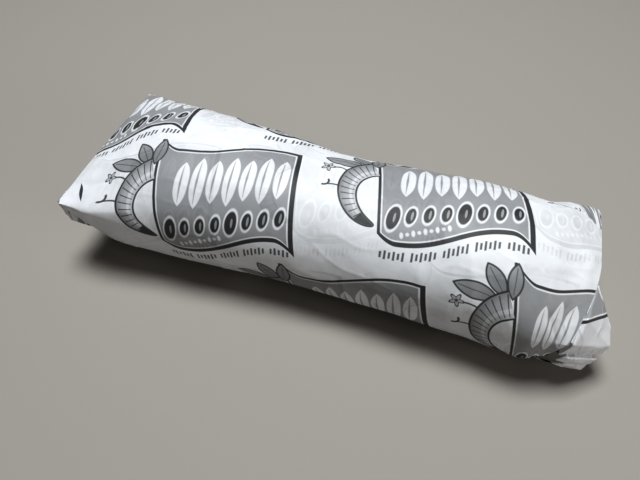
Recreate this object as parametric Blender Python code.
"""A burrito shut in its paper wrap: one closed parcel, metres, +Z up.

+X runs along the roll, +Y is the side away from a person who looks at it, and the flat
underside rests on z = 0. The origin is the middle of the parcel's footprint. The paper is a
tube round a soft roll. Each end is pinched to a straight crease near the top and folded
down, and the side folds stick out as ears.
"""

import math

import bmesh
import bpy

# Driving dimensions of the roll.
BODY_WIDTH = 0.0712
BODY_HEIGHT = 0.058
WIDEST_HEIGHT = 0.028  # where the side bulges most
SAG = 0.0030  # how much of the round underside is pressed flat
TOP_ROUNDNESS = 2.1  # superellipse exponents of the upper and lower half
UNDERSIDE_ROUNDNESS = 2.3

# A soft waist near the middle, deepest on the back.
WAIST_AT = 0.010
WAIST_SPREAD = 0.052
WAIST_DEPTH = 0.0030

# The roll bends a little to the front near its right end.
BEND_AT = 0.088
BEND_SPREAD = 0.034
BEND_DEPTH = 0.0024

# The outer layer's free edge runs along the back, over the last quarter turn of paper.
LAP_THICKNESS = 0.0007
LAP_AT_LEFT = math.radians(8.0)
LAP_AT_RIGHT = math.radians(38.0)
LAP_FADE = 0.25  # turns over which the doubled layer thins out
LAP_LEDGE = 0.004  # turns the ledge takes

# The two pinched ends: the crease's place along X, its height, the middle and half of its
# width, how far its front and back corners droop and its front corner slants back, how far
# from it the top, the sides and the end face reach the full section, how far the crease's
# height lasts along the back and the front, and how far the section stays lens-shaped.
LEFT_END = {
    "crease_x": -0.1200,
    "crease_z": 0.0400,
    "crease_y": 0.0010,
    "crease_half": 0.0410,
    "front_droop": 0.0015,
    "back_droop": 0.0,
    "slant": 0.0,
    "top_run": 0.055,
    "side_run": 0.120,
    "face_run": 0.019,
    "back_run": 0.070,
    "front_run": 0.075,
    "lens_run": 0.075,
}
RIGHT_END = {
    "crease_x": 0.1124,
    "crease_z": 0.0410,
    "crease_y": 0.0000,
    "crease_half": 0.0340,
    "front_droop": 0.0120,
    "back_droop": 0.0020,
    "slant": 0.0070,
    "top_run": 0.048,
    "side_run": 0.022,
    "face_run": 0.012,
    "back_run": 0.030,
    "front_run": 0.017,
    "lens_run": 0.012,
}
CREASE_HALF_THICKNESS = 0.0006
FACE_ROUNDNESS = 1.8
FACE_CORNER_RUN = 0.6  # how much further in the end face reaches at the crease's corners
LENS_UPPER_POWER = 1.3  # powers of the sine that make a section's sides sharp
LENS_LOWER_POWER = 0.7
SLANT_RUN = 0.030  # how far in the front corner's slant reaches

# Mesh density of the loft.
SIDES = 64
END_STATIONS = 14
BODY_STATIONS = 28


def ease(t):
    """0 to 1 with level ends."""
    t = min(max(t, 0.0), 1.0)
    return t * t * (3.0 - 2.0 * t)


def arrive(t):
    """0 to 1, steep at first and level at the end."""
    t = min(max(t, 0.0), 1.0)
    return 1.0 - (1.0 - t) ** 2


def mix(a, b, share):
    return a + (b - a) * share


def bump(x, centre, spread):
    return math.exp(-(((x - centre) / spread) ** 2))


def end_face(t):
    """1 at the crease, 0 where the end face meets the underside."""
    t = min(max(t, 0.0), 1.0)
    return 1.0 - (1.0 - (1.0 - t) ** FACE_ROUNDNESS) ** (1.0 / FACE_ROUNDNESS)


def section_sizes(x):
    """The sizes of the cross-section at x, from the crease of the nearer end to the body."""
    end = LEFT_END if x < 0.0 else RIGHT_END
    inside = abs(x - end["crease_x"])
    waist = WAIST_DEPTH * bump(x, WAIST_AT, WAIST_SPREAD)
    bend = BEND_DEPTH * bump(x, BEND_AT, BEND_SPREAD)
    sides = ease(inside / end["side_run"])
    front = ease(inside / end["front_run"])
    back_edge = mix(end["crease_z"], WIDEST_HEIGHT, ease(inside / end["back_run"]))
    front_edge = mix(end["crease_z"], WIDEST_HEIGHT, front)
    top = arrive(inside / end["top_run"])
    return {
        "middle": mix(end["crease_y"], -0.6 * waist - bend, sides),
        "half": mix(end["crease_half"], BODY_WIDTH / 2.0 - waist, sides),
        "top": mix(end["crease_z"] + CREASE_HALF_THICKNESS, BODY_HEIGHT - 0.7 * waist, top),
        "widest": (back_edge + front_edge) / 2.0,
        "twist": (back_edge - front_edge) / 2.0,
        "front_droop": mix(end["front_droop"], 0.0, front),
        "back_droop": mix(end["back_droop"], 0.0, front),
        "slant": end["slant"] * (1.0 - ease(inside / SLANT_RUN)),
        "lens": 1.0 - ease(inside / end["lens_run"]),
        "inside": inside,
        "face_run": end["face_run"],
        "crease": end["crease_z"] - CREASE_HALF_THICKNESS,
        "lap": LAP_THICKNESS * front,
    }


def turns():
    """Places round a cross-section in turns from the lap's free edge, both sides of it."""
    return [step / SIDES for step in range(SIDES)] + [1.0 - LAP_LEDGE]


def section(x):
    """The cross-section at x: points that run round from the free edge over the top."""
    sizes = section_sizes(x)
    left, right = LEFT_END["crease_x"], RIGHT_END["crease_x"]
    free_edge = mix(LAP_AT_LEFT, LAP_AT_RIGHT, (x - left) / (right - left))
    points = []
    for turn in turns():
        angle = free_edge + 2.0 * math.pi * turn
        cosine, sine = math.cos(angle), math.sin(angle)
        if sine >= 0.0:
            power = mix(2.0 / TOP_ROUNDNESS, LENS_UPPER_POWER, sizes["lens"])
            reach = sizes["top"] - sizes["widest"]
        else:
            power = mix(2.0 / UNDERSIDE_ROUNDNESS, LENS_LOWER_POWER, sizes["lens"])
            run = sizes["face_run"] * (1.0 + FACE_CORNER_RUN * cosine * cosine)
            under = mix(-SAG, sizes["crease"], end_face(sizes["inside"] / run))
            reach = sizes["widest"] - under
        side_power = 2.0 / (TOP_ROUNDNESS if sine >= 0.0 else UNDERSIDE_ROUNDNESS)
        layer = sizes["lap"] * max(0.0, 1.0 - turn / LAP_FADE)
        droop = sizes["back_droop"] if cosine > 0.0 else sizes["front_droop"]
        y = math.copysign(abs(cosine) ** side_power, cosine) * (sizes["half"] + layer)
        z = math.copysign(abs(sine) ** power, sine) * (reach + layer)
        z += sizes["widest"] + sizes["twist"] * cosine - droop * abs(cosine) ** 2.5
        slant = sizes["slant"] * max(0.0, -cosine) ** 1.5
        points.append((x - slant, sizes["middle"] + y, max(z, 0.0)))
    return points


def stations():
    """Places along X, close together at the ends and even between them."""
    left, right = LEFT_END["crease_x"], RIGHT_END["crease_x"]
    left_run, right_run = LEFT_END["face_run"], RIGHT_END["face_run"]
    places = [left + left_run * (step / END_STATIONS) ** 2 for step in range(END_STATIONS)]
    start, stop = left + left_run, right - right_run
    places += [mix(start, stop, step / BODY_STATIONS) for step in range(BODY_STATIONS + 1)]
    places += [right - right_run * (step / END_STATIONS) ** 2 for step in range(END_STATIONS - 1, -1, -1)]
    return places


def loft_body():
    """The roll with its pinched ends, lofted through the cross-sections."""
    shape = bmesh.new()
    rings = [[shape.verts.new(point) for point in section(x)] for x in stations()]
    for ring, following in zip(rings, rings[1:]):
        for side in range(len(ring)):
            after = (side + 1) % len(ring)
            shape.faces.new((ring[side], ring[after], following[after], following[side]))
    shape.faces.new(rings[0])
    shape.faces.new(reversed(rings[-1]))
    bmesh.ops.recalc_face_normals(shape, faces=shape.faces)
    return new_object("wrapped_burrito", shape)


# The ears: side folds that stick out past the creases. Each is the convex shape round its
# outer corners and the points that anchor it inside the roll.
EARS = {
    "front_left_ear": [
        (-0.1200, -0.0260, 0.0402),
        (-0.1222, -0.0393, 0.0380),
        (-0.1186, -0.0400, 0.0270),
        (-0.1130, -0.0392, 0.0250),
        (-0.1110, -0.0340, 0.0390),
        (-0.1060, -0.0330, 0.0230),
        (-0.1110, -0.0200, 0.0360),
        (-0.1160, -0.0260, 0.0300),
    ],
    "front_right_ear": [
        (0.1122, -0.0095, 0.0400),
        (0.1096, -0.0260, 0.0380),
        (0.1084, -0.0340, 0.0300),
        (0.1059, -0.0352, 0.0200),
        (0.1182, -0.0181, 0.0320),
        (0.1224, -0.0179, 0.0260),
        (0.1249, -0.0233, 0.0200),
        (0.1236, -0.0250, 0.0150),
        (0.1209, -0.0294, 0.0080),
        (0.1180, -0.0310, 0.0050),
        (0.0985, -0.0300, 0.0060),
        (0.0980, -0.0200, 0.0080),
        (0.0980, -0.0200, 0.0300),
        (0.1080, -0.0080, 0.0050),
        (0.1150, 0.0020, 0.0220),
        (0.1040, 0.0060, 0.0060),
    ],
    "back_right_ear": [
        (0.1124, 0.0310, 0.0395),
        (0.1080, 0.0200, 0.0410),
        (0.1090, 0.0320, 0.0330),
        (0.1150, 0.0290, 0.0260),
        (0.1165, 0.0200, 0.0200),
        (0.1120, 0.0080, 0.0280),
        (0.1020, 0.0300, 0.0200),
        (0.1000, 0.0200, 0.0300),
        (0.1020, 0.0180, 0.0100),
        (0.1100, 0.0220, 0.0080),
    ],
}


def convex_solid(name, corners):
    shape = bmesh.new()
    for corner in corners:
        shape.verts.new(corner)
    bmesh.ops.convex_hull(shape, input=shape.verts)
    bmesh.ops.recalc_face_normals(shape, faces=shape.faces)
    return new_object(name, shape)


def new_object(name, shape):
    mesh = bpy.data.meshes.new(name)
    shape.to_mesh(mesh)
    shape.free()
    made = bpy.data.objects.new(name, mesh)
    collection("burrito").objects.link(made)
    return made


def collection(name):
    found = bpy.data.collections.get(name)
    if found is None:
        found = bpy.data.collections.new(name)
        bpy.context.scene.collection.children.link(found)
    return found


def join(body, ears):
    """Unites the ears with the roll and removes their own objects."""
    for ear in ears:
        union = body.modifiers.new(ear.name, "BOOLEAN")
        union.operation = "UNION"
        union.object = ear
    graph = bpy.context.evaluated_depsgraph_get()
    joined = bpy.data.meshes.new_from_object(body.evaluated_get(graph))
    body.modifiers.clear()
    body.data = joined
    for ear in ears:
        bpy.data.objects.remove(ear)


def centre_footprint(body):
    """Puts the origin in the middle of the footprint, on the underside."""
    xs = [vertex.co.x for vertex in body.data.vertices]
    ys = [vertex.co.y for vertex in body.data.vertices]
    zs = [vertex.co.z for vertex in body.data.vertices]
    shift = ((max(xs) + min(xs)) / 2.0, (max(ys) + min(ys)) / 2.0, min(zs))
    for vertex in body.data.vertices:
        vertex.co.x -= shift[0]
        vertex.co.y -= shift[1]
        vertex.co.z -= shift[2]


def paper_material():
    """White greaseproof wrapping paper with a soft gloss."""
    material = bpy.data.materials.new("wrapping_paper")
    material.use_nodes = True
    shader = material.node_tree.nodes["Principled BSDF"]
    shader.inputs["Base Color"].default_value = (0.80, 0.81, 0.82, 1.0)
    shader.inputs["Roughness"].default_value = 0.5
    shader.inputs["Metallic"].default_value = 0.0
    return material


def build():
    for old in list(bpy.data.objects):
        bpy.data.objects.remove(old)
    body = loft_body()
    join(body, [convex_solid(name, corners) for name, corners in EARS.items()])
    centre_footprint(body)
    body.data.materials.clear()
    body.data.materials.append(paper_material())
    body.data.shade_smooth()
    body.data.set_sharp_from_angle(angle=math.radians(40.0))


build()
